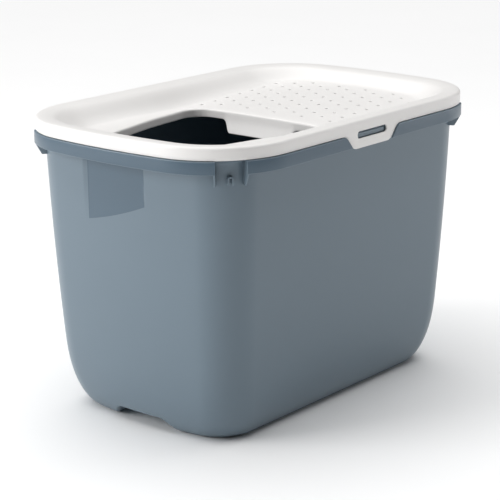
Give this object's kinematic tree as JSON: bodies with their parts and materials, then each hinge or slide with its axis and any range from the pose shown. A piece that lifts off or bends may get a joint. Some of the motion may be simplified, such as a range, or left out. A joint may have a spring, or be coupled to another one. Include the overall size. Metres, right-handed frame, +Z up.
{
  "type": "top-entry cat litter box",
  "caption": "Deep drafted litter tub with an overhanging rim and a lift-off lid with a dished perforated platform and a top entry opening.",
  "frame": {"origin": "on the floor under the middle of the box", "axes": "+X along the length, away from the entry opening, +Y across the width towards the rear latch, +Z up"},
  "size_m": [0.585, 0.389, 0.395],
  "materials": {
    "tub_plastic": "satin blue-grey polypropylene",
    "lid_plastic": "satin warm white polypropylene"
  },
  "bodies": {
    "tub": {"tub_floor": "tub_plastic", "near_foot": "tub_plastic", "far_foot": "tub_plastic", "tub_wall": "tub_plastic", "rim_flange": "tub_plastic", "rim_skirt": "tub_plastic", "rim_lip": "tub_plastic", "corner_gussets": "tub_plastic", "corner_loops": "tub_plastic", "latch_catches": "tub_plastic"},
    "lid": {"lid_platform": "lid_plastic", "lid_slope": "lid_plastic", "entry_collar": "lid_plastic", "lid_bead": "lid_plastic", "lid_skirt": "lid_plastic"},
    "front_latch": {"front_latch": "lid_plastic"},
    "rear_latch": {"rear_latch": "lid_plastic"}
  },
  "joints": [
    {"name": "lid_lift", "type": "slide", "parent": "tub", "child": "lid", "axis": [0, 0, 1], "range_m": [0, 0.12]},
    {"name": "front_latch_flex", "type": "hinge", "parent": "lid", "child": "front_latch", "pos_m": [0, -0.1925, 0.381], "axis": [-1, 0, 0], "range_deg": [0, 12], "stiffness_Nm_per_rad": 0.5},
    {"name": "rear_latch_flex", "type": "hinge", "parent": "lid", "child": "rear_latch", "pos_m": [0, 0.1925, 0.381], "axis": [1, 0, 0], "range_deg": [0, 12], "stiffness_Nm_per_rad": 0.5}
  ]
}
